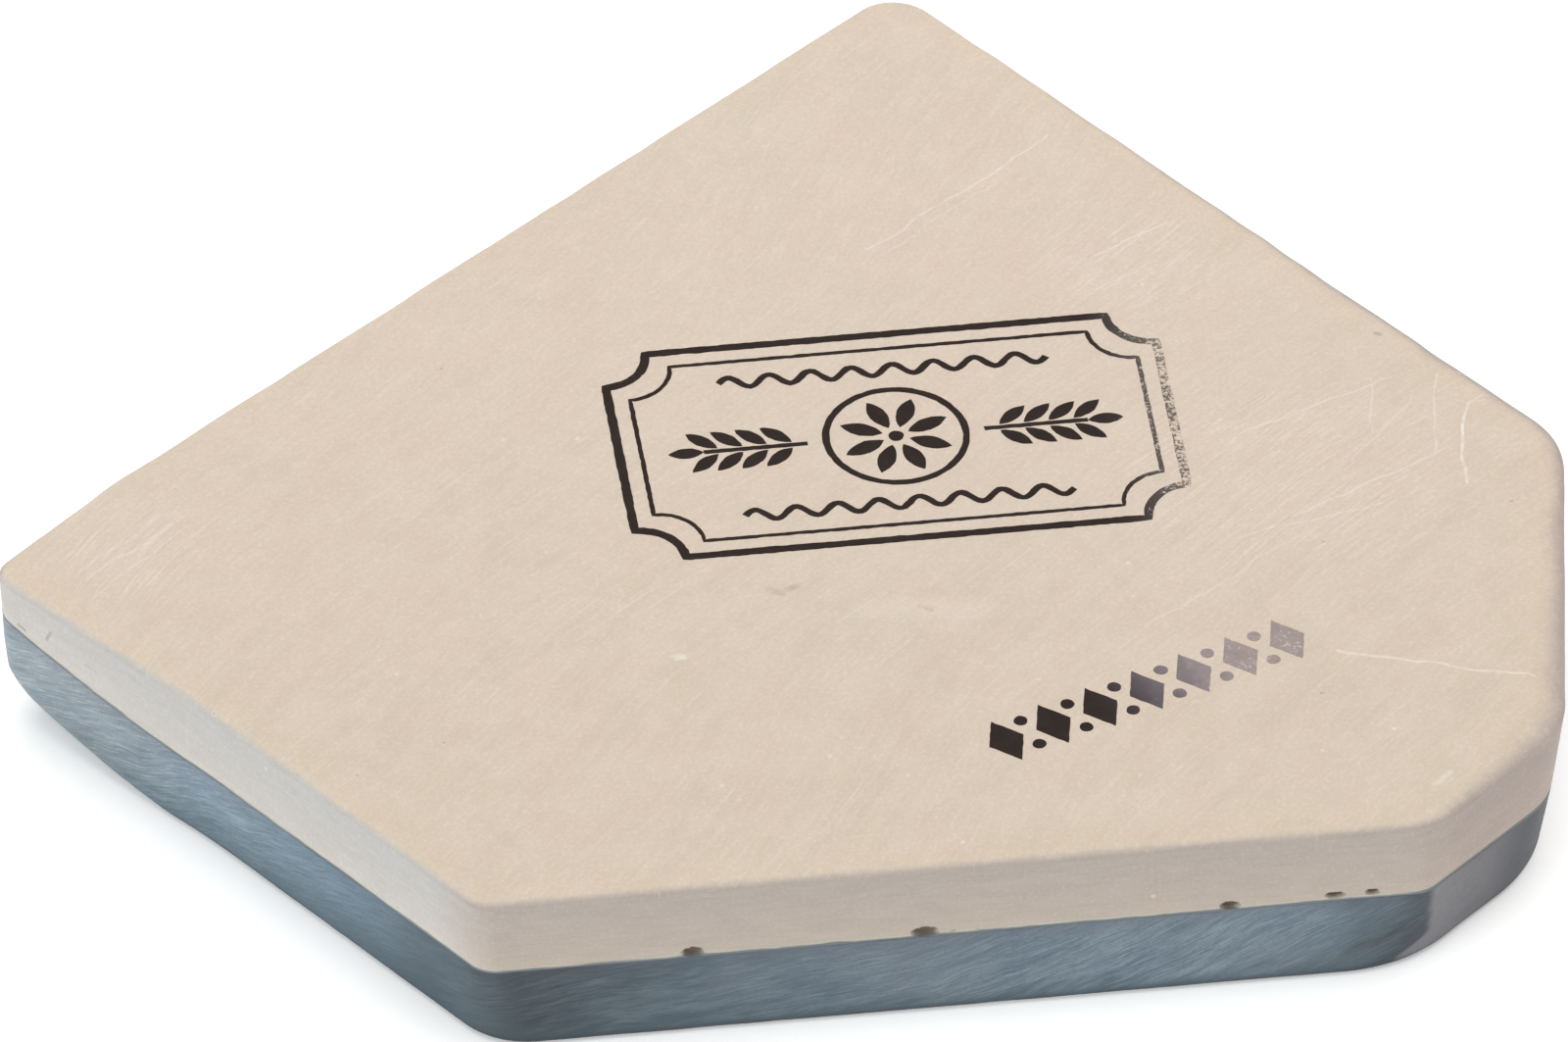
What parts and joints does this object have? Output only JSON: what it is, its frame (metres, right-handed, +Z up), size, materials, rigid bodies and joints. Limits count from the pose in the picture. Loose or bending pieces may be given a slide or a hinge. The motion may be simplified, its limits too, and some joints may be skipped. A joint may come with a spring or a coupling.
{
  "type": "natural whetstone",
  "caption": "Flat natural sharpening stone: an irregular sawn slab with a pale, fine-grained honing layer bonded on a blue-grey slate backing.",
  "frame": {"origin": "centre of the bounding box in plan, on the flat underside of the slate", "axes": "+Z up through the slab, out of the honing face; +X along the straight front edge, towards the short bevelled end; +Y towards the back corner"},
  "size_m": [0.1006, 0.084, 0.0123],
  "materials": {
    "honing_layer": "fine honed and matt, with hair scratches and a worn ink stamp",
    "slate_backing": "sawn and rubbed smooth, satin matt, with fine streaks"
  },
  "bodies": {
    "root": {"honing_layer": "honing_layer", "slate_backing": "slate_backing"}
  },
  "joints": []
}
